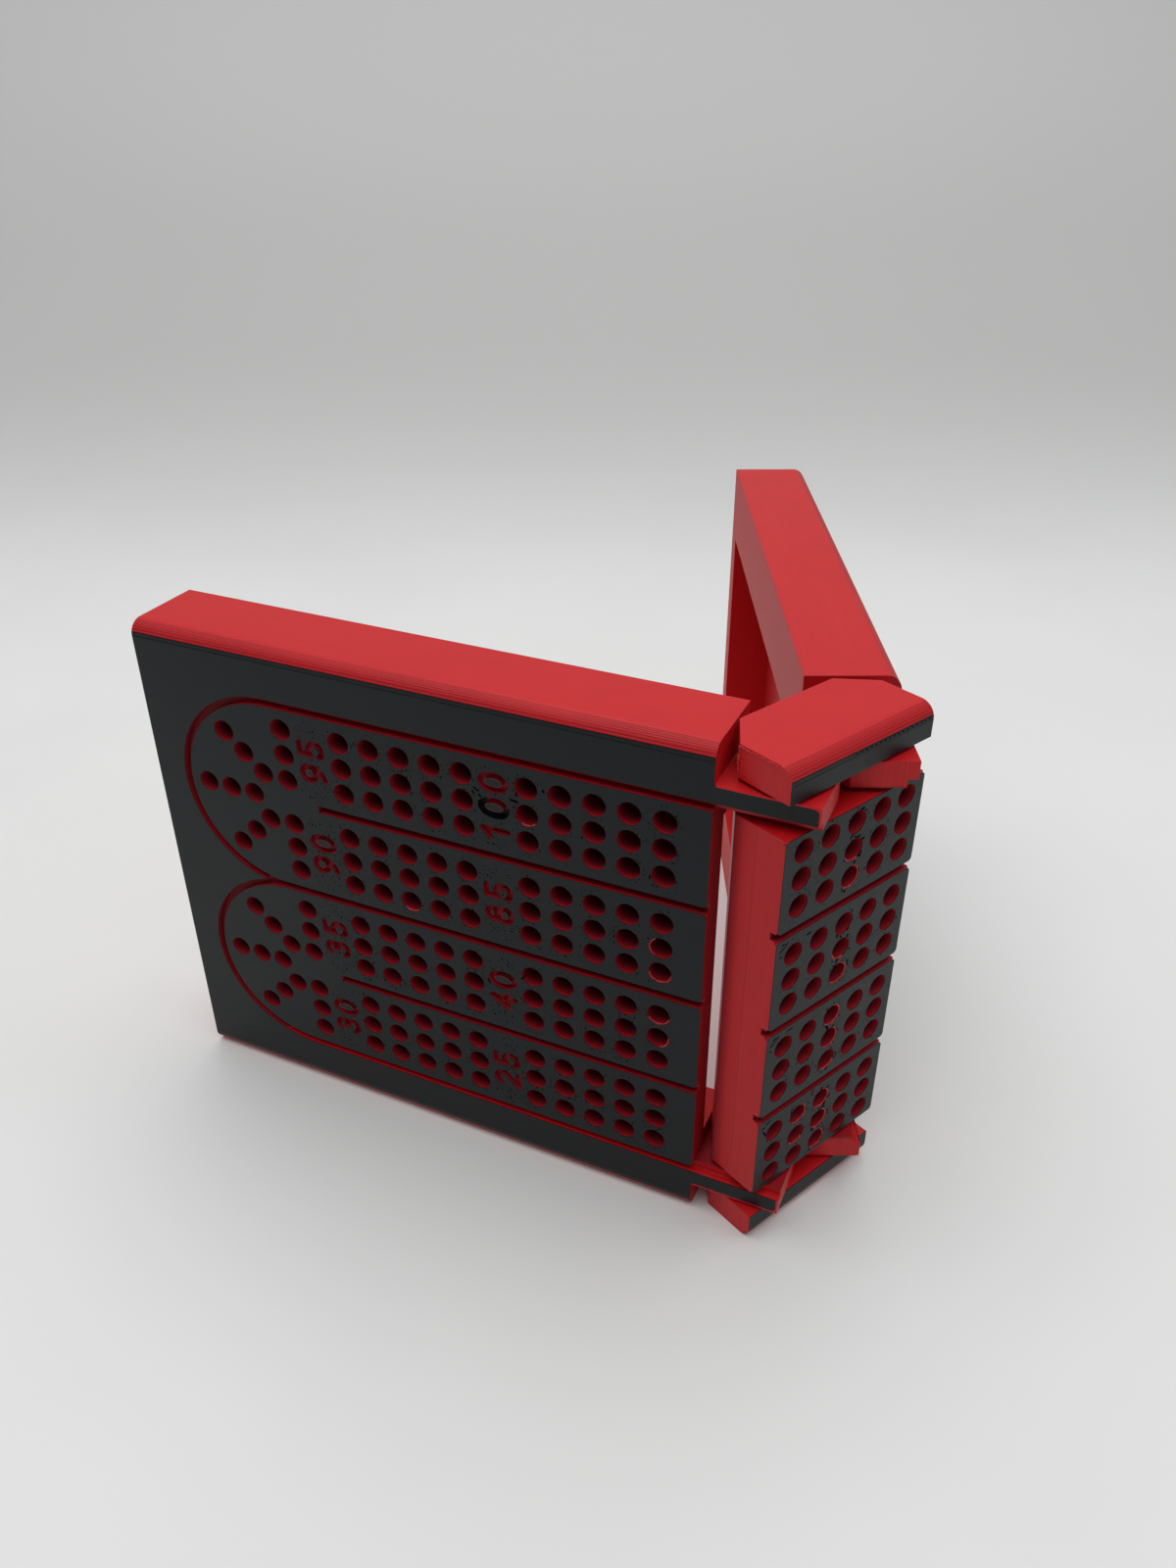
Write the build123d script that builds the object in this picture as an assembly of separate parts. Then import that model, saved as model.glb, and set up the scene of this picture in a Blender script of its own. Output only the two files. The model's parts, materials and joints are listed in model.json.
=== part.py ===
from build123d import *
import math
import os

# A folding cribbage board, printed in two colours, that stands on its edge like an open screen.
# A narrow spine holds two leaves. Each leaf turns on two upright pins at its own side of the spine,
# from lying flat in line with it to folded square behind it, where the two leaves meet back to back
# and their recesses close round a deck of cards.
# X runs along the spine, Y from its playing face to its back, and Z up. The origin is the middle of
# the foot of the spine. All sizes are in millimetres and all angles in degrees.

# Track: holes stand in lanes of three rows, in blocks of five columns
HOLE_PITCH = 5.6
ROW_PITCH = 4.8
LANE_PITCH = 18.3
HOLE_DIAMETER = 3.9
HOLE_DEPTH = 4.2
BLOCK_COLUMNS = 5
ROWS = (-1, 0, 1)
LANES = (1.5, 0.5, -0.5, -1.5)
TURN_COLUMN = 12
LAST_COLUMN = 16
TURN_ANGLE = 43.0
TURN_STRETCH = 3.2
FIRST_HOLE_FROM_AXIS = 14.8
END_MARGIN = 5.6

# Grooves between the lanes, and the engraved numbers
GROOVE_WIDTH = 1.4
GROOVE_DEPTH = 1.5
MIDDLE_GROOVE_COLUMN = 11
START_LANE_MARGIN = 3.4
DIGIT_HEIGHT = 5.4
DIGIT_WIDTH = 3.7
DIGIT_STROKE = 1.1
DIGIT_ADVANCE = 4.5
DIGIT_DEPTH = 1.0

# Body of the board
THICKNESS = 15.0
SKIN = 0.4
EDGE_ROUNDING = 2.5
HOLE_FLOOR = 1.2
CARD_WIDTH = 63.5
CARD_CLEARANCE = 0.9
END_RIM = 6.0
TILE_ROUNDING = 0.7

# Hinges
EAR_HEIGHT = 4.4
CAP_HEIGHT = 5.4
BLOCK_GAP = 0.9
CAP_GAP = 0.6
LEAF_GAP = 1.0
FOLD_CLEARANCE = 0.3
FLAT_GAP = 0.8
CORNER_FLAT = 2.3
PIN_DIAMETER = 5.0
PIN_CLEARANCE = 0.1
SEAT_CLEARANCE = 0.05
PIN_SEAT = 4.0

# The pose that the board stands in, where 0 is flat and 90 is shut
LEFT_FOLD = 63.8
RIGHT_FOLD = 50.4

# Sizes that follow from those above
FACE_Y = -THICKNESS / 2
AXIS_SPACING = THICKNESS + LEAF_GAP
LEAF_START = THICKNESS / 2 + FOLD_CLEARANCE
SPINE_LENGTH = AXIS_SPACING + 2 * (LEAF_START - FLAT_GAP)
LEAF_REACH = FIRST_HOLE_FROM_AXIS + LAST_COLUMN * HOLE_PITCH + END_MARGIN
EAR_REACH = THICKNESS / 2
CORNER_CHAMFER = THICKNESS / 2 - CORNER_FLAT
EAR_INNER = 2 * LANE_PITCH - GROOVE_WIDTH / 2
EAR_OUTER = EAR_INNER + EAR_HEIGHT
BLOCK_HALF = EAR_INNER - BLOCK_GAP
CAP_INNER = EAR_OUTER + CAP_GAP
HALF_WIDTH = CAP_INNER + CAP_HEIGHT
FLOOR = HOLE_DEPTH + HOLE_FLOOR
CARD_HEIGHT = CARD_WIDTH + CARD_CLEARANCE
TURN_CENTRE = FIRST_HOLE_FROM_AXIS + TURN_COLUMN * HOLE_PITCH
MIDDLE_GROOVE_END = FIRST_HOLE_FROM_AXIS + MIDDLE_GROOVE_COLUMN * HOLE_PITCH

# Sketches of the playing face are drawn here: x along the board, y up, cut into the thickness
FACE = Plane(origin=(0, FACE_Y, 0), x_dir=(1, 0, 0), z_dir=(0, -1, 0))

LEFT_NUMBERS = (
    ("95", 1.5, 11), ("100", 1.5, 5),
    ("90", 0.5, 11), ("85", 0.5, 5),
    ("35", -0.5, 11), ("40", -0.5, 5),
    ("30", -1.5, 11), ("25", -1.5, 5),
)
RIGHT_NUMBERS = (
    ("115", 1.5, 5), ("120", 1.5, 11),
    ("70", 0.5, 5), ("65", 0.5, 11),
    ("55", -0.5, 5), ("60", -0.5, 11),
    ("10", -1.5, 5), ("5", -1.5, 11),
)


def box(x, y, z):
    """A block between two limits on each axis."""
    size = (x[1] - x[0], y[1] - y[0], z[1] - z[0])
    middle = ((x[0] + x[1]) / 2, (y[0] + y[1]) / 2, (z[0] + z[1]) / 2)
    return Pos(*middle) * Box(*size)


def sunk(sketch, depth):
    """The space that a sketch of the playing face takes out of the board."""
    return extrude(FACE * sketch, amount=-depth)


def column_x(column):
    """Distance of a column of holes from the hinge axis."""
    return FIRST_HOLE_FROM_AXIS + column * HOLE_PITCH


def lane_spots(lane, columns):
    """Hole places of one lane, for the columns named."""
    middle = lane * LANE_PITCH
    return [(column_x(c), middle + row * ROW_PITCH) for c in columns for row in ROWS]


def turn_spots(middle):
    """Hole places where a track turns back, in five rows that fan out from one centre."""
    spots = []
    for angle in (-90, -TURN_ANGLE, 0, TURN_ANGLE, 90):
        reach = LANE_PITCH / 2 + TURN_STRETCH * math.cos(math.radians(angle))
        for row in ROWS:
            distance = reach + row * ROW_PITCH
            along = distance * math.cos(math.radians(angle))
            up = distance * math.sin(math.radians(angle))
            spots.append((TURN_CENTRE + along, middle + up))
    return spots


def peg_holes(spots):
    """Blind peg holes at the places given."""
    outline = Sketch() + [Pos(x, y) * Circle(HOLE_DIAMETER / 2) for x, y in spots]
    return sunk(outline, HOLE_DEPTH)


def round_ended(middle, half, end):
    """A strip from past the hinge to a half round end, as wide as twice half."""
    return square_ended(middle, half, end) + Pos(end, middle) * Circle(half)


def square_ended(middle, half, end):
    """A strip from past the hinge to a square end, as wide as twice half."""
    start = -THICKNESS
    return Pos((start + end) / 2, middle) * Rectangle(end - start, 2 * half)


def outline_groove(outline):
    """The groove that follows an outline, half of it on each side."""
    outside = offset(outline, GROOVE_WIDTH / 2, kind=Kind.INTERSECTION)
    return outside - offset(outline, -GROOVE_WIDTH / 2, kind=Kind.INTERSECTION)


def turn_groove(middle):
    """The groove round two lanes that a turn joins, and the one that parts them."""
    outline = round_ended(middle, LANE_PITCH, TURN_CENTRE + TURN_STRETCH)
    return outline_groove(outline) + square_ended(middle, GROOVE_WIDTH / 2, MIDDLE_GROOVE_END)


def stroke(edge):
    """A line or an arc drawn with the width of the number strokes, with round ends."""
    ends = [Pos(edge @ place) * Circle(DIGIT_STROKE / 2) for place in (0, 1)]
    return trace(edge, line_width=DIGIT_STROKE) + ends


def arc(x, y, radius, start, end):
    """A round stroke about a centre, between two angles."""
    return stroke(CenterArc((x, y), radius, start, end - start))


def line(*points):
    """Straight strokes from point to point."""
    return Sketch() + [stroke(Line(a, b)) for a, b in zip(points, points[1:])]


def ring(x, y, width, height):
    """An oval stroke of the overall size given."""
    inner = Ellipse(width / 2 - DIGIT_STROKE, height / 2 - DIGIT_STROKE)
    return Pos(x, y) * (Ellipse(width / 2, height / 2) - inner)


def digit(name):
    """One digit about its own middle."""
    w = (DIGIT_WIDTH - DIGIT_STROKE) / 2
    h = (DIGIT_HEIGHT - DIGIT_STROKE) / 2
    low = w - h
    if name == "0":
        return ring(0, 0, DIGIT_WIDTH, DIGIT_HEIGHT)
    if name == "1":
        return line((0.3 * w, -h), (0.3 * w, h), (-0.7 * w, 0.45 * h))
    if name == "2":
        bend = math.radians(-35)
        neck = (w * math.cos(bend), w * math.sin(bend) - low)
        return arc(0, -low, w, 160, -35) + line(neck, (-w, -h), (w, -h))
    if name == "3":
        top = 0.85 * w
        return arc(0, h - top, top, 150, -90) + arc(0, low, w, 90, -150)
    if name == "4":
        return line((0.45 * w, -h), (0.45 * w, h), (-w, -0.35 * h), (w, -0.35 * h))
    if name == "5":
        bend = math.radians(135)
        neck = (w * math.cos(bend), w * math.sin(bend) + low)
        return line((0.8 * w, h), (-0.6 * w, h), neck) + arc(0, low, w, 135, -145)
    if name == "6":
        tail = ThreePointArc((-w, low), (-0.45 * w, 0.6 * h), (0.7 * w, h))
        return ring(0, low, DIGIT_WIDTH, DIGIT_WIDTH) + stroke(tail)
    if name == "7":
        return line((-w, h), (w, h), (-0.3 * w, -h))
    if name == "8":
        top = 0.85 * DIGIT_WIDTH
        upper = ring(0, (DIGIT_HEIGHT - top) / 2, top, top)
        return upper + ring(0, low, DIGIT_WIDTH, DIGIT_WIDTH)
    return Rot(0, 0, 180) * digit("6")


def number(text, x, y):
    """A number that reads upwards, centred on one place of the playing face."""
    middle = (len(text) - 1) / 2
    glyphs = [Pos((i - middle) * DIGIT_ADVANCE, 0) * digit(t) for i, t in enumerate(text)]
    return Pos(x, y) * Rot(0, 0, 90) * (Sketch() + glyphs)


def leaf_blank():
    """One leaf with its card recess, drawn outwards from a hinge axis at the origin."""
    body = box((LEAF_START, LEAF_REACH), (FACE_Y, -FACE_Y), (-HALF_WIDTH, HALF_WIDTH))
    front = body.edges().filter_by(Axis.X).group_by(Axis.Y)[0]
    body = fillet(front, radius=EDGE_ROUNDING)
    recess_x = (LEAF_START - FLAT_GAP, LEAF_REACH - END_RIM)
    body -= box(recess_x, (FACE_Y + FLOOR, THICKNESS), (-CARD_HEIGHT / 2, CARD_HEIGHT / 2))
    return body + ear(1) + ear(-1)


def ear(side):
    """The knuckle that reaches past the hinge axis, at the top or at the bottom of a leaf."""
    heights = sorted((side * EAR_INNER, side * EAR_OUTER))
    body = box((-EAR_REACH, LEAF_START), (FACE_Y, -FACE_Y), heights)
    corner = body.edges().filter_by(Axis.Z).group_by(Axis.Y)[-1].sort_by(Axis.X)[0]
    body = chamfer(corner, length=CORNER_CHAMFER)
    bore = Cylinder(PIN_DIAMETER / 2 + PIN_CLEARANCE, 2 * EAR_HEIGHT)
    return body - Pos(0, 0, side * (EAR_INNER + EAR_OUTER) / 2) * bore


def mirrored(shapes, side):
    """Shapes drawn for the right leaf, turned over for the left one."""
    return shapes if side > 0 else [mirror(shape, about=Plane.YZ) for shape in shapes]


def parted(blank, cuts):
    """The thin faces of a board from the largest down, and the body under them, all cut alike.

    The small islands inside the digits stay on the body.
    """
    x, z = 2 * LEAF_REACH, 2 * HALF_WIDTH
    layer = box((-x, x), (FACE_Y - SKIN, FACE_Y + SKIN), (-z, z))
    pieces = sorted(((blank & layer) - cuts).solids(), key=span, reverse=True)
    faces = [piece for piece in pieces if span(piece) > DIGIT_HEIGHT]
    body = (blank - layer) - cuts
    return faces, body + pieces[len(faces):]


def span(piece):
    """The longer side of a thin piece of the playing face."""
    size = piece.bounding_box().size
    return max(size.X, size.Z)


def from_top(pieces):
    """Pieces in order from the top of the board to the bottom."""
    return sorted(pieces, key=lambda piece: -piece.center().Z)


def rounded_at(face, ends):
    """A track face with its corners rounded at the ends named: 0 for the left, -1 for the right."""
    groups = face.edges().filter_by(Axis.Y).group_by(Axis.X)
    return face.fillet(TILE_ROUNDING, [edge for end in ends for edge in groups[end]])


def leaf_parts(name, side, angle, grooves, spots, numbers, track_names):
    """A leaf's body, border face and track faces by name, folded to the pose that it stands in."""
    blank, cuts = leaf_blank(), [sunk(grooves, GROOVE_DEPTH), peg_holes(spots)]
    blank, *cuts = mirrored([blank, *cuts], side)
    for text, lane, column in numbers:
        cuts.append(sunk(number(text, side * column_x(column), lane * LANE_PITCH), DIGIT_DEPTH))
    faces, body = parted(blank, cuts)
    parts = {name + "_leaf": body, name + "_border_face": faces[0]}
    hinge_end = 0 if side > 0 else -1
    for track, piece in zip(track_names, from_top(faces[1:])):
        parts["%s_%s_face" % (name, track)] = rounded_at(piece, (hinge_end,))
    place = Pos(side * AXIS_SPACING / 2, 0, 0) * Rot(0, 0, side * angle)
    return {key: place * piece for key, piece in parts.items()}


def block_columns():
    """The columns of the two blocks of holes that every lane of a leaf has."""
    return [column for first in (0, BLOCK_COLUMNS + 1) for column in range(first, first + BLOCK_COLUMNS)]


def left_leaf():
    """The leaf with two turns: lanes one and two, and lanes three and four."""
    grooves = turn_groove(LANE_PITCH) + turn_groove(-LANE_PITCH)
    spots = turn_spots(LANE_PITCH) + turn_spots(-LANE_PITCH)
    for lane in LANES:
        spots += lane_spots(lane, block_columns())
    tracks = ("upper_track", "lower_track")
    return leaf_parts("left", -1, LEFT_FOLD, grooves, spots, LEFT_NUMBERS, tracks)


def right_leaf():
    """The leaf with the finish, the turn between lanes two and three, and the start."""
    first, last = LANES[0] * LANE_PITCH, LANES[-1] * LANE_PITCH
    start_end = column_x(LAST_COLUMN) + START_LANE_MARGIN
    grooves = turn_groove(0) + outline_groove(round_ended(first, LANE_PITCH / 2, TURN_CENTRE))
    grooves += outline_groove(square_ended(last, LANE_PITCH / 2, start_end))
    spots = turn_spots(0) + [(TURN_CENTRE, first)]
    for lane in LANES:
        spots += lane_spots(lane, block_columns())
    spots += lane_spots(LANES[-1], range(TURN_COLUMN, LAST_COLUMN + 1))
    tracks = ("finish_lane", "turn_track", "start_lane")
    return leaf_parts("right", 1, RIGHT_FOLD, grooves, spots, RIGHT_NUMBERS, tracks)


def spine_bar(heights):
    """A stretch of the spine, with the corners behind the hinge axes cut away."""
    half = SPINE_LENGTH / 2
    body = box((-half, half), (FACE_Y, -FACE_Y), heights)
    corners = body.edges().filter_by(Axis.Z).group_by(Axis.Y)[-1]
    return chamfer(corners, length=CORNER_CHAMFER)


def pin(x, side, clearance=0):
    """One hinge pin, from its seat in the block through the ear to its seat in the cap."""
    low, high = BLOCK_HALF - PIN_SEAT, CAP_INNER + PIN_SEAT
    rod = Cylinder(PIN_DIAMETER / 2 + clearance, high - low)
    return Pos(x * AXIS_SPACING / 2, 0, side * (low + high) / 2) * rod


def pin_seats():
    """The room for the four hinge pins."""
    return [pin(x, side, SEAT_CLEARANCE) for x in (-1, 1) for side in (-1, 1)]


def spine_block():
    """The part of the spine between the ears, with five columns of holes in each lane."""
    body = spine_bar((-BLOCK_HALF, BLOCK_HALF)) - pin_seats()
    strips = [Pos(0, n * LANE_PITCH) * Rectangle(2 * SPINE_LENGTH, GROOVE_WIDTH) for n in ROWS]
    places = [(c - (BLOCK_COLUMNS - 1) / 2) * HOLE_PITCH for c in range(BLOCK_COLUMNS)]
    heights = [lane * LANE_PITCH + row * ROW_PITCH for lane in LANES for row in ROWS]
    holes = peg_holes([(x, z) for x in places for z in heights])
    return parted(body, [sunk(Sketch() + strips, GROOVE_DEPTH), holes])


def cap(side):
    """The end of the spine outside an ear, with its outer front edge rounded."""
    body = spine_bar(sorted((side * CAP_INNER, side * HALF_WIDTH)))
    front = body.edges().filter_by(Axis.X).group_by(Axis.Y)[0].sort_by(Axis.Z)
    outer = front[-1] if side > 0 else front[0]
    return parted(fillet(outer, radius=EDGE_ROUNDING), pin_seats())


def spine():
    """The spine's pieces by name."""
    tiles, block = spine_block()
    parts = {"spine_block": block}
    for count, tile in enumerate(from_top(tiles), start=1):
        parts["spine_lane_%d_face" % count] = rounded_at(tile, (0, -1))
    for name, side in (("top", 1), ("bottom", -1)):
        faces, body = cap(side)
        parts[name + "_cap"] = body
        parts[name + "_cap_face"] = faces[0]
        parts[name + "_left_hinge_pin"] = pin(-1, side)
        parts[name + "_right_hinge_pin"] = pin(1, side)
    return parts


def main():
    os.makedirs("parts", exist_ok=True)
    for name, piece in (spine() | left_leaf() | right_leaf()).items():
        export_step(Pos(0, 0, HALF_WIDTH) * piece, "parts/%s.step" % name)


main()
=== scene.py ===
import json
import math

import bpy
from mathutils import Matrix, Vector

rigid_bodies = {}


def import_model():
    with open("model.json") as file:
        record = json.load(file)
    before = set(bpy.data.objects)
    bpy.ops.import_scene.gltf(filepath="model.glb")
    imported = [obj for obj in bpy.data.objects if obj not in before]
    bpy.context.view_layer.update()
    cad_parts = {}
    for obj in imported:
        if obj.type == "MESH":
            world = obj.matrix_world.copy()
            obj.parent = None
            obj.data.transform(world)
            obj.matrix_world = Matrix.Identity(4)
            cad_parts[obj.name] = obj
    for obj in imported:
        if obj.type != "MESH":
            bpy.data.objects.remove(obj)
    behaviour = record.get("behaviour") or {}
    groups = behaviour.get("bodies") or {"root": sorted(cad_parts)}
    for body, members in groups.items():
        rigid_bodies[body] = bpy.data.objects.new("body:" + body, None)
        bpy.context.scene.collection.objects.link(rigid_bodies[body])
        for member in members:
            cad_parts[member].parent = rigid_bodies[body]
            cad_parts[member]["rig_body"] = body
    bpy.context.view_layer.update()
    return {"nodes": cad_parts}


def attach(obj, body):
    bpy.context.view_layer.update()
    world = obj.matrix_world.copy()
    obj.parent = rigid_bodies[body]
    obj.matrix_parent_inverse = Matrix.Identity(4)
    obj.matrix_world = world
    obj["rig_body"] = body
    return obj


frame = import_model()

# A folding cribbage board, printed in red with a thin charcoal playing face. The layers of the
# print lie parallel to the playing face, so their lines run round every side of the board.
# The board's sizes are in millimetres, in each body's own frame: along the playing face from the
# body's hinge axis (or from the middle of the spine), through the thickness from its middle, with
# the playing face at minus half, and up from the middle of the height. The studio is in metres.

MILLIMETRE = 0.001

# The camera stands at the left of the spine's playing side and looks down at it
CAMERA_PLACE = (-0.12267, -0.09675, 0.17503)
CAMERA_TURN = (58.506, 0.205, -39.373)
CAMERA_LENS = 28.13
NEAREST_SEEN = 0.01

# One large soft light overhead, in a dim and slightly cool room
LIGHT_PLACE = (0.0, 0.06, 1.15)
LIGHT_TARGET = (0.0, 0.05, 0.03)
LIGHT_SIZE = 1.75
LIGHT_POWER = 18.6
ROOM_TINT = (0.93, 0.96, 1.0, 1.0)
ROOM_STRENGTH = 0.15

# The floor curves up into the backdrop, where painted shade makes the paper darker than the floor
FLOOR_NEAR_END = -1.2
FLOOR_FAR_END = 0.34
SWEEP_RADIUS = 0.55
SWEEP_STEPS = 24
BACKDROP_HEIGHT = 1.3
SWEEP_HALF = 1.6
PAPER = (0.77, 0.775, 0.765)
PALE_PAPER = (0.80, 0.805, 0.795)
SHADED_FAR_PAPER = (0.495, 0.50, 0.49)
SHADED_HIGH_PAPER = (0.535, 0.54, 0.53)

# The board. Its front is the playing face. The spine's block lies between the ears, and its caps
# outside them. Columns of holes are counted from 0.
HALF_WIDTH = 46.3
AXIS_FROM_MIDDLE = 8.0
HALF_THICKNESS = 7.5
FRONT = -HALF_THICKNESS
SKIN = 0.4
EDGE_ROUNDING = 2.5
RECESS_FLOOR_Y = -2.1
EAR_MIDDLE = 38.1
EAR_HALF = 2.2
EAR_REACH = 7.5
LEAF_START = 7.8
LEFT_FOLD = 63.8
RIGHT_FOLD = 50.4
HOLE_PITCH = 5.6
ROW_PITCH = 4.8
LANE_PITCH = 18.3
LANES = (1.5, 0.5, -0.5, -1.5)
FIRST_HOLE_FROM_AXIS = 14.8
LAST_LEAF_COLUMN = 11.0
LAST_SPINE_COLUMN = 4.0
MIDDLE_SPINE_COLUMN = 2
NUMBER_COLUMNS = (5, 11)
HOLE_DEPTH = 4.2
SPINE_HALF = 15.0
BLOCK_HALF = 35.0
CAP_INNER = 40.9
CORNER_FLAT = 2.3
LEAF_REACH = 110.0

# The print: its layers, the steps that they make on the rounded edges, drawn as dark lines by
# painted shade, the lines of its top surfaces, and how soft its sharp edges are
LAYER = 0.2
STEP_LINE = 0.28
STEP_DEPTH = 1.75
TOP_LINE_HALF = 0.21
SOFT_EDGE = 0.25

# The sizes of its patches: fine grain, pits, larger pits, ragged ends, edge wear with painted
# highlights, cloudy charcoal, slow changes of colour, and stretches of edge where the painted
# shade of the steps is stronger
GRAIN = 0.35
SPECK = 0.38
LARGE_SPECK = 0.6
RAGGED = 0.3
WEAR_AND_HIGHLIGHT = 1.6
CLOUD = 3.2
SLOW = 9.0
STRETCH = 26.0

# How deep and how far up the charcoal goes, the short gaps along the cap's edge, which are painted
# black as shade, and how deep the black residue and its painted shade lie in the numbers
CHARCOAL_BACK = FRONT + 0.14
CHARCOAL_UP = 44.67
DASH_PITCH = 1.0
DASH_UP = 44.25
DASH_HALF = 0.095
RESIDUE_AND_SHADE_BACK = FRONT + 1.2

# Shares of the painted shade in the holes and on the edge steps, and how far up the painted shade
# goes
CAVITY_SHADE_SHARE = 0.92
STEP_SHADE_SHARE = 0.65
SHADE_UP = 36.2

# Colours
RED = (0.56, 0.0085, 0.012)
DEEP_RED = (0.36, 0.003, 0.006)
SHADE_RED = (0.115, 0.0035, 0.012)
PALE_RED = (0.66, 0.050, 0.052)
CHARCOAL = (0.0038, 0.0052, 0.0068)
WORN_CHARCOAL = (0.0070, 0.0088, 0.0106)
HOLLOW_BLACK = (0.0015, 0.0015, 0.0017)
THREAD_RED = (0.46, 0.012, 0.016)

# Loose threads: half a rim's thickness, the radius it lies on, the length of a thread's pieces and
# the patches of its waves, the last in metres
RIM_HALF = 0.13
RIM_RADIUS = 1.86
THREAD_STEP = 0.12
THREAD_PATCH = 0.0006

# Rough rims of single holes: lane from the top, column, row, and the arc in degrees
SPINE_RIMS = (
    (0, 2, 1, -150, -60), (0, 2, 2, -130, 80), (1, 2, 1, -170, -70), (1, 2, 2, -140, 100),
    (2, 2, 0, -140, 80), (2, 2, 1, -130, 70), (2, 2, 2, -120, -20), (3, 1, 0, -130, 80),
    (3, 2, 0, -130, 80), (3, 2, 1, -130, 80), (3, 2, 2, -130, 60), (3, 1, 1, -140, -40),
)
LEAF_RIMS = (
    (1, 0, 2, 190, 350), (2, 0, 0, -150, -20), (1, 0, 1, 120, 240), (1, 8, 2, 230, 310),
    (0, 4, 1, -120, -40), (2, 0, 1, -80, 10),
)

# Strokes in the playing face, painted black as shade in their hollows, and in the left leaf's
# numbers as black residue with painted shade round it: two ends, in millimetres along and up, and
# half a width
SPINE_STROKES = (
    (-14.12, 15.60, -12.99, 16.26, 0.10), (-12.99, 16.26, -12.60, 16.74, 0.10),
    (-13.82, 16.79, -13.15, 16.73, 0.10), (-8.39, 16.09, -7.66, 16.15, 0.13),
    (-14.06, 14.65, -14.04, 14.60, 0.14), (-11.68, 16.89, -11.60, 16.85, 0.09),
    (-14.20, -2.75, -12.85, -1.95, 0.11), (-12.85, -1.95, -12.50, -1.50, 0.10),
    (-13.80, -1.60, -13.10, -1.60, 0.10), (-10.60, -1.55, -9.50, -1.50, 0.09),
    (-14.15, -3.75, -14.12, -3.70, 0.13), (-13.25, -19.95, -12.40, -19.62, 0.11),
    (-14.10, -20.51, -13.60, -20.47, 0.13), (-13.90, -21.30, -13.25, -22.45, 0.13),
    (-12.72, -24.05, -12.66, -24.20, 0.11), (-2.30, -19.40, -2.54, -20.42, 0.13),
    (-7.15, -20.55, -7.42, -21.45, 0.12),
)
LEAF_STROKES = (
    (-44.95, 27.85, -45.00, 27.20, 0.56), (-45.00, 27.20, -44.40, 26.45, 0.56),
    (-44.40, 26.45, -42.80, 26.04, 0.58), (-42.80, 26.04, -41.40, 26.30, 0.58),
    (-41.40, 26.30, -40.95, 26.60, 0.50),
    (-46.10, 30.33, -45.44, 29.90, 0.16), (-46.40, 29.65, -46.20, 29.20, 0.12),
    (-45.30, 29.30, -45.00, 28.90, 0.12), (-39.81, 29.67, -38.80, 29.54, 0.20),
    (-38.88, 31.00, -38.80, 30.60, 0.13), (-34.31, 32.62, -34.20, 32.50, 0.18),
    (-45.30, -8.40, -45.60, -7.60, 0.12), (-39.20, -5.40, -38.70, -5.00, 0.13),
)


class Value:
    """A node's output that Python's operators work on. Each adds one Math node."""

    def __init__(self, finish, socket):
        self.finish = finish
        self.socket = socket

    def __add__(self, other):
        return self.finish.math("ADD", self, other)

    __radd__ = __add__

    def __sub__(self, other):
        return self.finish.math("SUBTRACT", self, other)

    def __rsub__(self, other):
        return self.finish.math("SUBTRACT", other, self)

    def __mul__(self, other):
        return self.finish.math("MULTIPLY", self, other)

    __rmul__ = __mul__

    def __truediv__(self, other):
        return self.finish.math("DIVIDE", self, other)

    def __rtruediv__(self, other):
        return self.finish.math("DIVIDE", other, self)

    def __abs__(self):
        return self.finish.math("ABSOLUTE", self)


class Nodes:
    """A node tree that is built up node by node."""

    def __init__(self, tree):
        self.tree = tree
        tree.nodes.clear()

    def node(self, kind, inputs, settings=None, output=0):
        """A node with its settings, then its inputs by name or number, as numbers or as links."""
        made = self.tree.nodes.new(kind)
        for key, value in (settings or {}).items():
            setattr(made, key, value)
        for key, value in inputs.items():
            if isinstance(value, Value):
                self.tree.links.new(value.socket, made.inputs[key])
            else:
                made.inputs[key].default_value = value
        return Value(self, made.outputs[output]) if len(made.outputs) else made

    def math(self, operation, *values):
        return self.node("ShaderNodeMath", dict(enumerate(values)), {"operation": operation})

    def vector_math(self, operation, *values, output=0):
        settings = {"operation": operation}
        return self.node("ShaderNodeVectorMath", dict(enumerate(values)), settings, output)

    def least(self, a, b):
        return self.math("MINIMUM", a, b)

    def most(self, a, b):
        return self.math("MAXIMUM", a, b)

    def noise(self, size, vector=None, line=None, detail=2.0, roughness=0.5, output=0):
        """Soft noise from 0 to 1 with patches of one size, in space or along a line."""
        inputs = {"Scale": 1.0 / size, "Detail": detail, "Roughness": roughness}
        if line is None:
            return self.node("ShaderNodeTexNoise", inputs | {"Vector": vector}, None, output)
        return self.node("ShaderNodeTexNoise", inputs | {"W": line}, {"noise_dimensions": "1D"})


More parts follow.
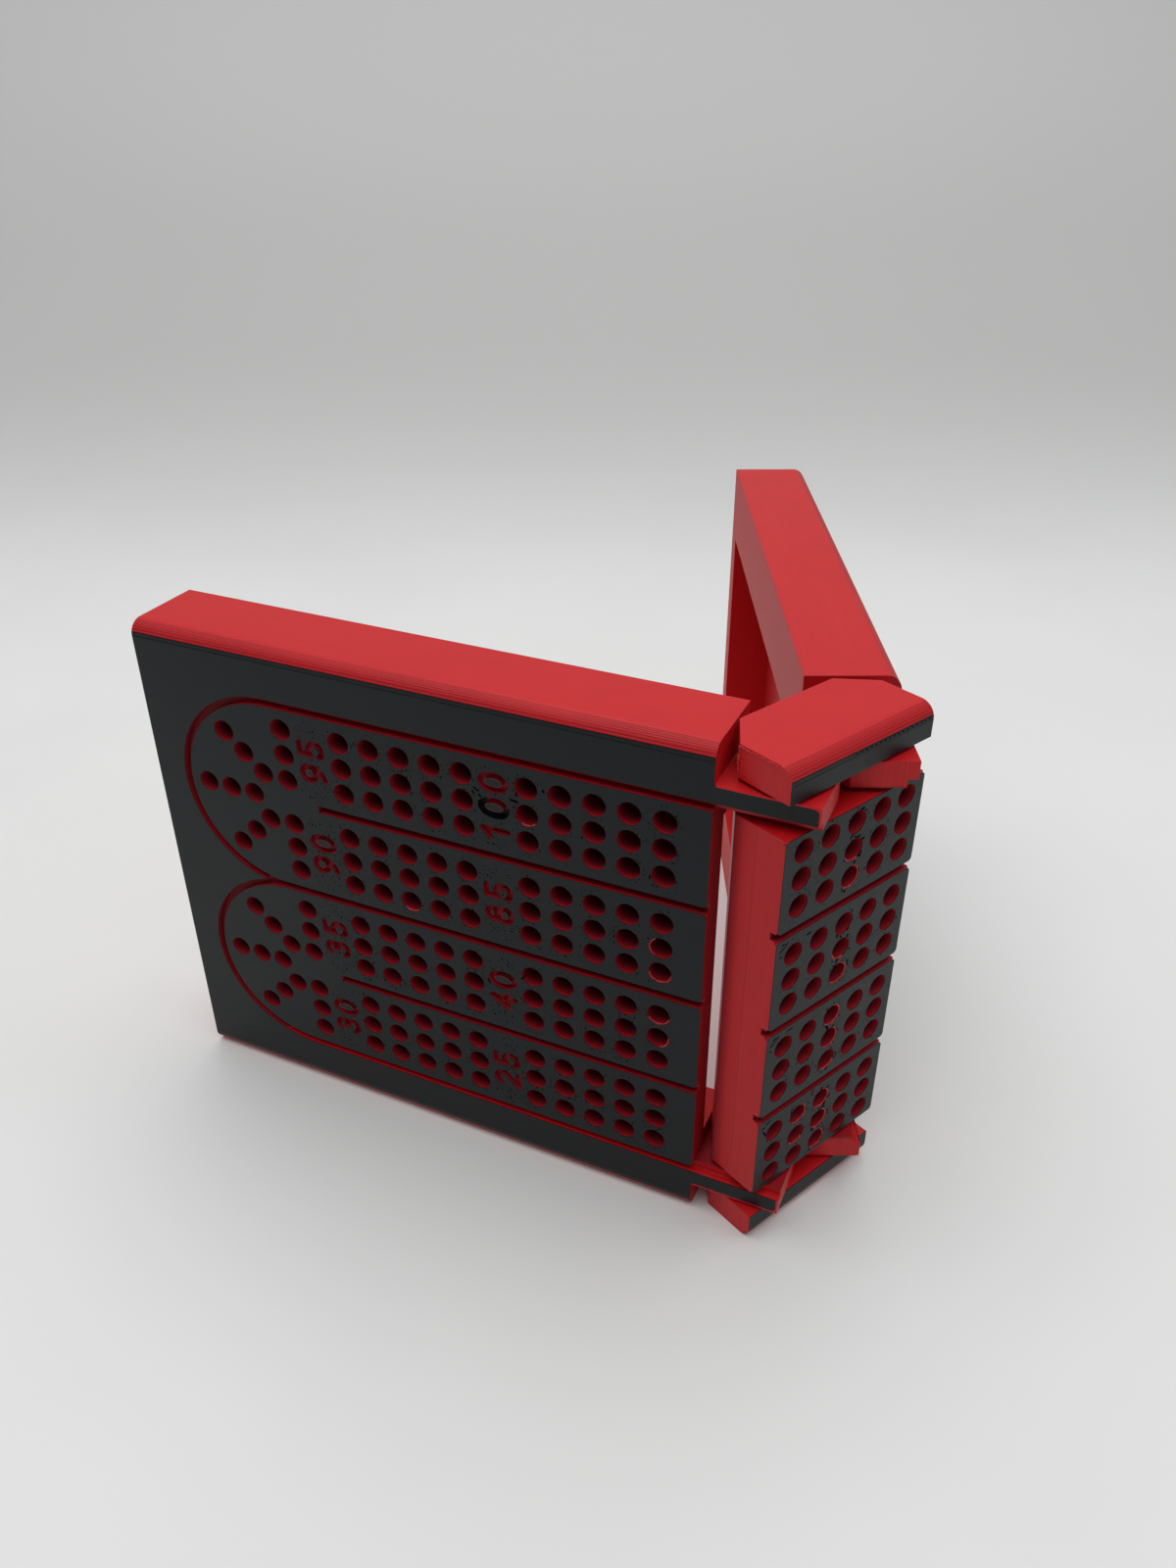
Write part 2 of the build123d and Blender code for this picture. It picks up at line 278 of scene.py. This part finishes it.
class Finish(Nodes):
    """A material."""

    def __init__(self, name):
        self.material = bpy.data.materials.new(name)
        self.material.use_nodes = True
        super().__init__(self.material.node_tree)

    def ramp(self, value, start, end):
        """A smooth rise from 0 at start to 1 at end. It falls where start is the larger."""
        limits = {"Value": value, "From Min": start, "From Max": end}
        return self.node("ShaderNodeMapRange", limits, {"interpolation_type": "SMOOTHSTEP"})

    def colours(self, share, first, second):
        """Two colours mixed, the second by its share."""
        first_socket, second_socket, colour_output = 6, 7, 2
        inputs = {0: share}
        for socket, colour in ((first_socket, first), (second_socket, second)):
            inputs[socket] = colour if isinstance(colour, Value) else (*colour, 1.0)
        return self.node("ShaderNodeMix", inputs, {"data_type": "RGBA"}, colour_output)

    def vector(self, x, y, z):
        return self.node("ShaderNodeCombineXYZ", {"X": x, "Y": y, "Z": z})

    def split(self, vector):
        return [self.node("ShaderNodeSeparateXYZ", {"Vector": vector}, output=n) for n in range(3)]

    def place(self):
        """The place on the object itself, in metres."""
        object_output = 3
        return self.node("ShaderNodeTexCoord", {}, output=object_output)

    def board_place(self, side, fold):
        """Millimetres along the board, through its thickness and up, in the frame of one body."""
        inputs = {
            "Vector": self.place(),
            "Location": (side * AXIS_FROM_MIDDLE * MILLIMETRE, 0.0, HALF_WIDTH * MILLIMETRE),
            "Rotation": (0.0, 0.0, math.radians(side * fold)),
            "Scale": (MILLIMETRE,) * 3,
        }
        place = self.node("ShaderNodeMapping", inputs, {"vector_type": "TEXTURE"})
        return place, self.split(place)

    def soft_edge(self):
        """The normal of the surface with its sharp edges slightly rounded."""
        inputs = {"Radius": SOFT_EDGE * MILLIMETRE}
        return self.node("ShaderNodeBevel", inputs, {"samples": 4})

    def flatness(self, soft_edge):
        """1 away from the sharp edges, and less towards them."""
        normal_output = 1
        flat = self.node("ShaderNodeNewGeometry", {}, output=normal_output)
        return self.vector_math("DOT_PRODUCT", soft_edge, flat, output=1)

    def shaded(self, colour, roughness, height, soft_edge=None, specular=0.5, hollow=None):
        """The surface itself, mixed with a black shader as painted shade where it is hollow. The
        height is in millimetres.
        """
        relief = {"Height": height, "Distance": MILLIMETRE, "Strength": 1.0}
        if soft_edge:
            relief["Normal"] = soft_edge
        bump = self.node("ShaderNodeBump", relief)
        inputs = {"Base Color": colour, "Roughness": roughness, "Normal": bump}
        shader = self.node("ShaderNodeBsdfPrincipled", inputs | {"Specular IOR Level": specular})
        if hollow:
            inputs = {"Base Color": (*HOLLOW_BLACK, 1.0), "Roughness": 0.9, "Specular IOR Level": 0.0}
            black = self.node("ShaderNodeBsdfPrincipled", inputs)
            shader = self.node("ShaderNodeMixShader", {0: hollow, 1: shader, 2: black})
        self.node("ShaderNodeOutputMaterial", {"Surface": shader})
        return self.material


class Shaping(Nodes):
    """A tree that turns lines into threads of plastic, with its own inputs for each piece."""

    def __init__(self, name):
        self.group = bpy.data.node_groups.new(name, "GeometryNodeTree")
        super().__init__(self.group)
        socket = self.group.interface.new_socket
        socket("Lines", in_out="INPUT", socket_type="NodeSocketGeometry")
        for key in ("Step", "Wander", "Ripple"):
            socket(key, in_out="INPUT", socket_type="NodeSocketFloat")
        socket("Finish", in_out="INPUT", socket_type="NodeSocketMaterial")
        socket("Plastic", in_out="OUTPUT", socket_type="NodeSocketGeometry")
        self.entry = self.group.nodes.new("NodeGroupInput")

    def given(self, name):
        return Value(self, self.entry.outputs[name])

    def thread(self):
        """Each line wanders a little and grows thicker and thinner."""
        geometry = "GeometryNode"
        curve = self.node(geometry + "MeshToCurve", {"Mesh": self.given("Lines")})
        inputs = {"Curve": curve, "Length": self.given("Step")}
        curve = self.node(geometry + "ResampleCurve", inputs, {"mode": "LENGTH"})
        where = self.node(geometry + "InputPosition", {})
        drift = self.noise(THREAD_PATCH, where, detail=3.0, output=1)
        drift = self.vector_math("SUBTRACT", drift, (0.5, 0.5, 0.5))
        amount = self.given("Wander")
        scale = self.node("ShaderNodeCombineXYZ", {"X": amount, "Y": amount, "Z": amount})
        drift = self.vector_math("MULTIPLY", drift, scale)
        curve = self.node(geometry + "SetPosition", {"Geometry": curve, "Offset": drift})
        number = {"data_type": "FLOAT"}
        half = self.node(geometry + "InputNamedAttribute", {"Name": "half"}, number)
        ripple = (self.noise(THREAD_PATCH * 0.7, where) - 0.5) * self.given("Ripple")
        half = half * self.most(ripple + 1.0, 0.25)
        ring = self.node(geometry + "CurvePrimitiveCircle", {"Resolution": 6, "Radius": 1.0})
        inputs = {"Curve": curve, "Profile Curve": ring, "Scale": half, "Fill Caps": True}
        solid = self.node(geometry + "CurveToMesh", inputs)
        solid = self.node(geometry + "RealizeInstances", {"Geometry": solid})
        inputs = {"Geometry": solid, "Material": self.given("Finish")}
        solid = self.node(geometry + "SetMaterial", inputs)
        self.node("NodeGroupOutput", {0: solid})
        return self.group


def print_texture(finish, place, x, y, z):
    """The layer lines round the sides, longer streaks along them, and slow changes of colour."""
    layers = finish.noise(LAYER * 1.3, line=y, detail=3.0, roughness=0.6)
    drift = finish.noise(SLOW, place)
    along = finish.vector(x * 0.02, y * 2.6, z * 0.02)
    streaks = finish.noise(1.0, along, detail=3.0)
    return layers, drift, streaks


def top_lines(finish, x, y, z):
    """Where a top surface lies, at the back of the board and the floor of a recess, and the
    diagonal lines on it."""
    back = finish.ramp(y, HALF_THICKNESS - 0.06, HALF_THICKNESS - 0.03)
    floor = finish.ramp(abs(y - RECESS_FLOOR_Y), 0.05, 0.02)
    lines = finish.math("PINGPONG", (x + z) * 0.7071, TOP_LINE_HALF)
    return finish.most(back, floor), lines


def shaded_edge_steps(finish, side, place, x, y, z):
    """The layer steps along the rounded long edges: a mask for the painted shade that draws them
    as dark lines, and for their bump.
    """
    start, end = HALF_WIDTH - EDGE_ROUNDING, FRONT + STEP_DEPTH
    zone = finish.ramp(abs(z), start - 0.1, start + 0.15) * finish.ramp(y, end + 0.1, end - 0.1)
    far = LEAF_REACH if side else SPINE_HALF
    zone = zone * finish.ramp(abs(x), far - 0.05, far - 0.2)
    wave = finish.math("PINGPONG", y + HALF_THICKNESS, STEP_LINE / 2) / (STEP_LINE / 2)
    weight = finish.ramp(finish.noise(STRETCH, place, detail=1.0), 0.3, 0.62) * 0.5 + 0.5
    return zone * finish.ramp(wave, 0.5, 0.15) * weight


def cavity_shade(finish, side, x, y, z):
    """1 deep in the holes, and less in the shallow grooves and numbers: a mask for the painted
    shade in them."""
    floor = FRONT + HOLE_DEPTH
    inner = finish.ramp(abs(z), SHADE_UP + 0.1, SHADE_UP - 0.1)
    inner = inner * finish.ramp(y, FRONT + 0.12, FRONT + SKIN)
    inner = inner * finish.ramp(y, floor + 0.2, floor + 0.05)
    inner = inner * (0.68 + 0.32 * finish.ramp(y, FRONT + 0.8, FRONT + 2.4))
    if not side:
        inner = inner * finish.ramp(abs(z), BLOCK_HALF - 0.05, BLOCK_HALF - 0.15)
        return inner * finish.ramp(abs(x), SPINE_HALF - 0.05, SPINE_HALF - 0.15)
    near = finish.ramp(side * x, LEAF_START + 0.1, LEAF_START + 0.3)
    return inner * near * finish.ramp(side * x, LEAF_REACH - 0.1, LEAF_REACH - 0.3)


def hinge_shade(finish, side, x, y, z):
    """How much darker the block and the ends of the leaves look where they are close together."""
    inner = finish.ramp(abs(z), SHADE_UP + 0.1, SHADE_UP - 0.1)
    if side:
        return inner * finish.ramp(side * x, LEAF_START + 0.12, LEAF_START + 0.04) * 0.5
    inner = inner * finish.ramp(abs(z), BLOCK_HALF - 0.02, BLOCK_HALF - 0.12)
    end = finish.ramp(y, CORNER_FLAT - 2.7, CORNER_FLAT + 0.1)
    end = end * finish.ramp(abs(x), SPINE_HALF - 0.2, SPINE_HALF - 0.05)
    corner = finish.ramp(y, CORNER_FLAT - 0.1, CORNER_FLAT + 0.2)
    corner = corner * finish.ramp(abs(x), SPINE_HALF - 4.0, SPINE_HALF - 3.0)
    return inner * (end * 0.6 + corner * 0.3)


def along_rows(side, x):
    """Distance from the first straight column of holes, and the last column's number."""
    if side:
        return side * x - FIRST_HOLE_FROM_AXIS, LAST_LEAF_COLUMN
    return x + MIDDLE_SPINE_COLUMN * HOLE_PITCH, LAST_SPINE_COLUMN


def red_print(name, side, fold):
    """Red plastic with its layer lines. The islands inside the numbers have charcoal tops."""
    finish = Finish(name)
    place, (x, y, z) = finish.board_place(side, fold)
    layers, drift, streaks = print_texture(finish, place, x, y, z)
    grain = finish.noise(GRAIN, place)
    flat, lines = top_lines(finish, x, y, z)
    shaded_steps = shaded_edge_steps(finish, side, place, x, y, z)
    soft_edge = finish.soft_edge()
    flatness = finish.flatness(soft_edge)
    patches = finish.ramp(finish.noise(WEAR_AND_HIGHLIGHT, place, detail=3.0), 0.4, 0.65)
    worn = finish.ramp(flatness, 0.995, 0.90) * patches
    ear = finish.ramp(abs(abs(z) - EAR_MIDDLE), EAR_HALF + 0.7, EAR_HALF + 0.4)
    cavity = cavity_shade(finish, side, x, y, z)
    colour = finish.colours(finish.ramp(drift, 0.3, 0.75) * 0.12, RED, DEEP_RED)
    colour = finish.colours(finish.ramp(streaks, 0.5, 0.8) * 0.22, colour, PALE_RED)
    colour = finish.colours(finish.ramp(layers, 0.62, 0.3) * (ear * 0.25 + 0.16), colour, DEEP_RED)
    # Pale edges: wear in patches, and painted highlights along the sharp edges
    colour = finish.colours(worn * 0.6, colour, PALE_RED)
    # Painted shade draws the layer steps on the rounded edges as dark lines
    colour = finish.colours(shaded_steps * STEP_SHADE_SHARE, colour, SHADE_RED)
    # Painted sparkle: pale flecks on the top surfaces
    colour = finish.colours(flat * finish.ramp(grain, 0.45, 0.75) * 0.35, colour, PALE_RED)
    # Painted shade in the holes, grooves and numbers, then where the block and the leaves' ends
    # are close
    colour = finish.colours(cavity * CAVITY_SHADE_SHARE, colour, SHADE_RED)
    colour = finish.colours(hinge_shade(finish, side, x, y, z), colour, SHADE_RED)
    if side < 0:
        # Black residue in the numbers, with painted shade round it, also on their red walls
        residue_and_shade = strokes(finish, place, LEAF_STROKES)
        residue_and_shade = residue_and_shade * finish.ramp(y, RESIDUE_AND_SHADE_BACK + 0.1, RESIDUE_AND_SHADE_BACK - 0.1)
        colour = finish.colours(residue_and_shade, colour, HOLLOW_BLACK)
    top = finish.ramp(y, FRONT + SKIN + 0.02, FRONT + SKIN - 0.02)
    colour = finish.colours(top * finish.ramp(flatness, 0.80, 0.88), colour, CHARCOAL)
    roughness = 0.40 + grain * 0.12 + flat * 0.06 + cavity * 0.30
    height = layers * (ear * 0.02 + 0.012) + grain * 0.003 + flat * lines * 0.10 - shaded_steps * 0.05
    return finish.shaded(colour, roughness, height, soft_edge, 0.28)


def charcoal_print(name, side, fold):
    """The charcoal face, which was pressed flat on a smooth bed, with pits near the holes. Its
    walls below the thin charcoal layer are red."""
    finish = Finish(name)
    place, (x, y, z) = finish.board_place(side, fold)
    grain = finish.noise(GRAIN, place)
    pits = pits_near_holes(finish, side, place, x, z)
    residue_and_shade = 0.0
    if side < 0:
        residue_and_shade = strokes(finish, place, LEAF_STROKES)
        pits = finish.most(pits, residue_and_shade)
    if not side:
        pits = finish.most(pits, strokes(finish, place, SPINE_STROKES))
        pits = finish.most(pits, dashes(finish, place, x, z))
    cloud = finish.noise(CLOUD, place, detail=3.0)
    colour = finish.colours(finish.ramp(cloud, 0.35, 0.7) * 0.35, CHARCOAL, WORN_CHARCOAL)
    # Pits, strokes and gaps are painted near black as shade in their hollows; on the left leaf the
    # residue is black too, with painted shade round it
    colour = finish.colours(pits, colour, HOLLOW_BLACK)
    walls = finish.ramp(y, CHARCOAL_BACK - 0.02, CHARCOAL_BACK + 0.02)
    outside = finish.ramp(abs(z), CHARCOAL_UP - 0.03, CHARCOAL_UP + 0.03)
    red = finish.most(walls, outside)
    if side:
        red = finish.most(red, ear_rim(finish, side, x, z))
    red = red * (1.0 - residue_and_shade)
    shaded_steps = shaded_edge_steps(finish, side, place, x, y, z)
    # Painted shade draws the layer steps on the red walls as dark lines
    red_colour = finish.colours(shaded_steps * STEP_SHADE_SHARE, RED, SHADE_RED)
    # Painted shade on the red walls in the holes, grooves and numbers
    cavity = cavity_shade(finish, side, x, y, z)
    red_colour = finish.colours(cavity * CAVITY_SHADE_SHARE, red_colour, SHADE_RED)
    colour = finish.colours(red, colour, red_colour)
    roughness = 0.36 + cloud * 0.10 + grain * 0.05 + pits * 0.4
    height = grain * 0.002 + cloud * 0.01 - pits * 0.2 - shaded_steps * 0.05
    return finish.shaded(colour, roughness, height, None, 0.26, pits * (1.0 - red) * 0.85)


def ear_rim(finish, side, x, z):
    """The red rim round the charcoal of an ear, which has rounded corners."""
    inset, rounding = 0.3, 0.8
    out = (inset + rounding - EAR_REACH) - side * x
    up = abs(abs(z) - EAR_MIDDLE) - (EAR_HALF - inset - rounding)
    out, up = finish.most(out, 0.0), finish.most(up, 0.0)
    distance = finish.math("SQRT", out * out + up * up)
    beyond = finish.ramp(distance, rounding - 0.05, rounding + 0.05)
    return beyond * finish.ramp(side * x, LEAF_START - 0.25, LEAF_START - 0.35)


def hole_distance(finish, along, z, columns):
    """Distance from the middle of the nearest hole of the lanes' straight columns."""
    lane = finish.math("FLOOR", z / LANE_PITCH)
    up = z - (lane + 0.5) * LANE_PITCH
    row = finish.most(finish.least(finish.math("ROUND", up / ROW_PITCH), 1.0), -1.0)
    column = finish.most(finish.least(finish.math("ROUND", along / HOLE_PITCH), columns), 0.0)
    across = along - column * HOLE_PITCH
    up = up - row * ROW_PITCH
    return finish.math("SQRT", across * across + up * up)


def pits_near_holes(finish, side, place, x, z):
    """Small pits where the face was thin, crowded near the holes and the numbers. The middle
    column of the spine has larger ones."""
    along, columns = along_rows(side, x)
    distance = hole_distance(finish, along, z, columns)
    near = finish.ramp(distance, 3.4, 2.3) * finish.ramp(abs(z), 36.0, 35.6)
    crowd = finish.ramp(finish.noise(SLOW, place, detail=1.0), 0.42, 0.60)
    speck = finish.ramp(finish.noise(SPECK, place, detail=1.0, roughness=0.4), 0.665, 0.68)
    if side:
        for column in NUMBER_COLUMNS:
            crowd = finish.most(crowd, finish.ramp(abs(along - column * HOLE_PITCH), 8.5, 5.5))
        return speck * near * crowd
    rough = finish.ramp(abs(x - 0.6), 2.9, 2.4) * finish.ramp(distance, 2.7, 2.4) * near
    mark = finish.noise(LARGE_SPECK, place, detail=1.0, roughness=0.4)
    return finish.most(speck * near * crowd, rough * finish.ramp(mark, 0.61, 0.64))


def dashes(finish, place, x, z):
    """The row of short gaps along the top edge of the cap's playing face, on its right half."""
    wave = finish.math("PINGPONG", x + finish.noise(2.0, place) * 0.8, DASH_PITCH / 2)
    row = finish.ramp(abs(z - DASH_UP), DASH_HALF + 0.025, DASH_HALF - 0.025)
    row = row * finish.ramp(x, -3.0, -1.5)
    return row * finish.ramp(wave, DASH_PITCH * 0.22, DASH_PITCH * 0.28)


def strokes(finish, place, segments):
    """1 inside short strokes with ragged edges."""
    flat_place = finish.vector_math("MULTIPLY", place, (1.0, 0.0, 1.0))
    nearest = 9.0
    for x0, z0, x1, z1, half in segments:
        run = Vector((x1 - x0, 0.0, z1 - z0))
        away = finish.vector_math("SUBTRACT", flat_place, (x0, 0.0, z0))
        share = finish.vector_math("DOT_PRODUCT", away, tuple(run / run.length_squared), output=1)
        share = finish.most(finish.least(share, 1.0), 0.0)
        on_line = finish.vector(share * run.x, 0.0, share * run.z)
        gap = finish.vector_math("DISTANCE", away, on_line, output=1)
        nearest = finish.least(gap - half, nearest)
    ragged = finish.noise(RAGGED, place, detail=1.0) * 0.24
    return finish.ramp(nearest + ragged, 0.18, 0.10)


def dress_body(body, side, fold):
    """The red and the charcoal of one body, in that body's own frame."""
    red = red_print(body + "_red_print", side, fold)
    charcoal = charcoal_print(body + "_charcoal_print", side, fold)
    for name, node in frame["nodes"].items():
        if node["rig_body"] == body:
            node.data.materials.clear()
            node.data.materials.append(charcoal if name.endswith("_face") else red)


def threads(name, body, side, fold, lines, material, wander=0.1, ripple=1.6):
    """Loose threads of plastic: half a thickness and the points of each, in its body's frame."""
    points, edges, halves = [], [], []
    for half, line in lines:
        start = len(points)
        points += line
        halves += [half * MILLIMETRE] * len(line)
        edges += [(n, n + 1) for n in range(start, len(points) - 1)]
    mesh = bpy.data.meshes.new(name + "_lines")
    mesh.from_pydata(points, edges, [])
    middle = Matrix.Translation((side * AXIS_FROM_MIDDLE, 0.0, HALF_WIDTH))
    turned = middle @ Matrix.Rotation(math.radians(side * fold), 4, "Z")
    mesh.transform(Matrix.Scale(MILLIMETRE, 4) @ turned)
    mesh.attributes.new("half", "FLOAT", "POINT").data.foreach_set("value", halves)
    holder = bpy.data.objects.new(name + "_lines", mesh)
    bpy.context.scene.collection.objects.link(holder)
    shape = holder.modifiers.new("shape", "NODES")
    shape.node_group = SHAPING
    step = THREAD_STEP * MILLIMETRE
    given = {"Step": step, "Wander": wander * MILLIMETRE, "Ripple": ripple}
    for socket in SHAPING.interface.items_tree:
        if socket.name in given:
            shape[socket.identifier] = given[socket.name]
        elif socket.name == "Finish":
            shape[socket.identifier] = material
    evaluated = holder.evaluated_get(bpy.context.evaluated_depsgraph_get())
    plastic = bpy.data.meshes.new_from_object(evaluated)
    bpy.data.objects.remove(holder)
    plastic.polygons.foreach_set("use_smooth", [True] * len(plastic.polygons))
    piece = bpy.data.objects.new(name, plastic)
    bpy.context.scene.collection.objects.link(piece)
    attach(piece, body)


def rim_lines(side, rims):
    """Arcs just inside the top edge of rough holes."""
    lines = []
    for lane, column, row, start, end in rims:
        up = LANE_PITCH * LANES[lane] + (1 - row) * ROW_PITCH
        if side:
            along = side * (FIRST_HOLE_FROM_AXIS + column * HOLE_PITCH)
        else:
            along = (column - MIDDLE_SPINE_COLUMN) * HOLE_PITCH
        arc = []
        for degrees in range(start, end + 1, 10):
            angle = math.radians(degrees)
            out, over = RIM_RADIUS * math.cos(angle), RIM_RADIUS * math.sin(angle)
            arc.append((along + out, FRONT + RIM_HALF, up + over))
        lines.append((RIM_HALF, arc))
    return lines


def loose_plastic():
    """The rims of some holes, the seam down the block and the burrs on worn edges."""
    finish = Finish("loose_red_plastic")
    place = finish.board_place(0, 0.0)[0]
    grain = finish.noise(RAGGED, place)
    colour = finish.colours(finish.ramp(grain, 0.3, 0.7) * 0.5, THREAD_RED, PALE_RED)
    material = finish.shaded(colour, 0.38 + grain * 0.1, grain * 0.01, None, 0.35)
    rims = rim_lines(0, SPINE_RIMS)
    threads("spine_rough_rims", "spine", 0, 0.0, rims, material, 0.22)
    rims = rim_lines(-1, LEAF_RIMS)
    threads("left_rough_rims", "left", -1, LEFT_FOLD, rims, material, 0.22)
    left, seam_y, block_top = -SPINE_HALF, -1.8, BLOCK_HALF - 0.05
    seam = (0.08, [(left, seam_y, -34.4), (left, seam_y, 34.8)])
    thick_seam = (0.11, [(left, seam_y, -34.0), (left, seam_y, 14.0)])
    corner = (0.10, [(left, FRONT + 0.2, block_top), (left, -2.0, block_top)])
    threads("block_seam", "spine", 0, 0.0, [seam, thick_seam, corner], material)
    end, back, top = left - 0.05, HALF_THICKNESS - 0.05, HALF_WIDTH - 0.35
    cap_end = (0.18, [(end, CORNER_FLAT, CAP_INNER + 0.2), (end, CORNER_FLAT, top)])
    cap_top = (0.11, [(end, CORNER_FLAT, top), (end, -5.0, top)])
    cap_back = (0.13, [(-6.0, back, top), (6.0, back, top)])
    burrs = [cap_end, cap_top, cap_back]
    threads("cap_burrs", "spine", 0, 0.0, burrs, material, 0.5, 3.0)


def sweep():
    """A floor that curves up into a backdrop behind the board, square to the camera."""
    profile = [(FLOOR_NEAR_END, 0.0), (FLOOR_FAR_END, 0.0)]
    for step in range(1, SWEEP_STEPS + 1):
        angle = math.radians(90 * step / SWEEP_STEPS)
        along = FLOOR_FAR_END + SWEEP_RADIUS * math.sin(angle)
        profile.append((along, SWEEP_RADIUS * (1 - math.cos(angle))))
    profile.append((FLOOR_FAR_END + SWEEP_RADIUS, BACKDROP_HEIGHT))
    sides = (-SWEEP_HALF, SWEEP_HALF)
    verts = [(across, along, up) for along, up in profile for across in sides]
    faces = [(2 * i, 2 * i + 1, 2 * i + 3, 2 * i + 2) for i in range(len(profile) - 1)]
    mesh = bpy.data.meshes.new("studio_sweep")
    mesh.from_pydata(verts, [], faces)
    mesh.transform(Matrix.Rotation(math.radians(CAMERA_TURN[2]), 4, "Z"))
    mesh.polygons.foreach_set("use_smooth", [True] * len(faces))
    mesh.materials.append(pale_paper())
    floor = bpy.data.objects.new("studio_sweep", mesh)
    bpy.context.scene.collection.objects.link(floor)


def pale_paper():
    """The floor's paper, slightly cloudy, and darker up the backdrop with painted shade."""
    finish = Finish("pale_paper")
    where = finish.place()
    cloud = finish.noise(0.11, where, detail=3.0)
    across, ahead, up = finish.split(where)
    turn = math.radians(-CAMERA_TURN[2])
    away = across * math.sin(turn) + ahead * math.cos(turn)
    colour = finish.colours(finish.ramp(cloud, 0.3, 0.7), PAPER, PALE_PAPER)
    # Painted shade: the paper darkens away from the camera and up the backdrop
    colour = finish.colours(finish.ramp(away, 0.18, 0.54), colour, SHADED_FAR_PAPER)
    colour = finish.colours(finish.ramp(away, 0.60, 0.74), colour, SHADED_HIGH_PAPER)
    return finish.shaded(colour, 0.6, cloud * 0.01)


def soft_light():
    """A square soft light overhead that faces the board."""
    data = bpy.data.lights.new("overhead", "AREA")
    data.shape = "SQUARE"
    data.size = LIGHT_SIZE
    data.energy = LIGHT_POWER
    light = bpy.data.objects.new("overhead", data)
    light.location = LIGHT_PLACE
    facing = Vector(LIGHT_TARGET) - Vector(LIGHT_PLACE)
    light.rotation_euler = facing.to_track_quat("-Z", "Y").to_euler()
    bpy.context.scene.collection.objects.link(light)


def soft_room():
    """The dim light that comes from all round."""
    world = bpy.data.worlds.new("soft_room")
    world.use_nodes = True
    background = world.node_tree.nodes["Background"]
    background.inputs["Color"].default_value = ROOM_TINT
    background.inputs["Strength"].default_value = ROOM_STRENGTH
    bpy.context.scene.world = world
    bpy.context.scene.view_settings.view_transform = "Standard"


def photo_camera():
    data = bpy.data.cameras.new("photo_camera")
    data.lens = CAMERA_LENS
    data.clip_start = NEAREST_SEEN
    camera = bpy.data.objects.new("photo_camera", data)
    camera.location = CAMERA_PLACE
    camera.rotation_euler = [math.radians(a) for a in CAMERA_TURN]
    bpy.context.scene.collection.objects.link(camera)
    bpy.context.scene.camera = camera


dress_body("spine", 0, 0.0)
dress_body("left", -1, LEFT_FOLD)
dress_body("right", 1, RIGHT_FOLD)
SHAPING = Shaping("plastic_threads").thread()
loose_plastic()
sweep()
soft_light()
soft_room()
photo_camera()
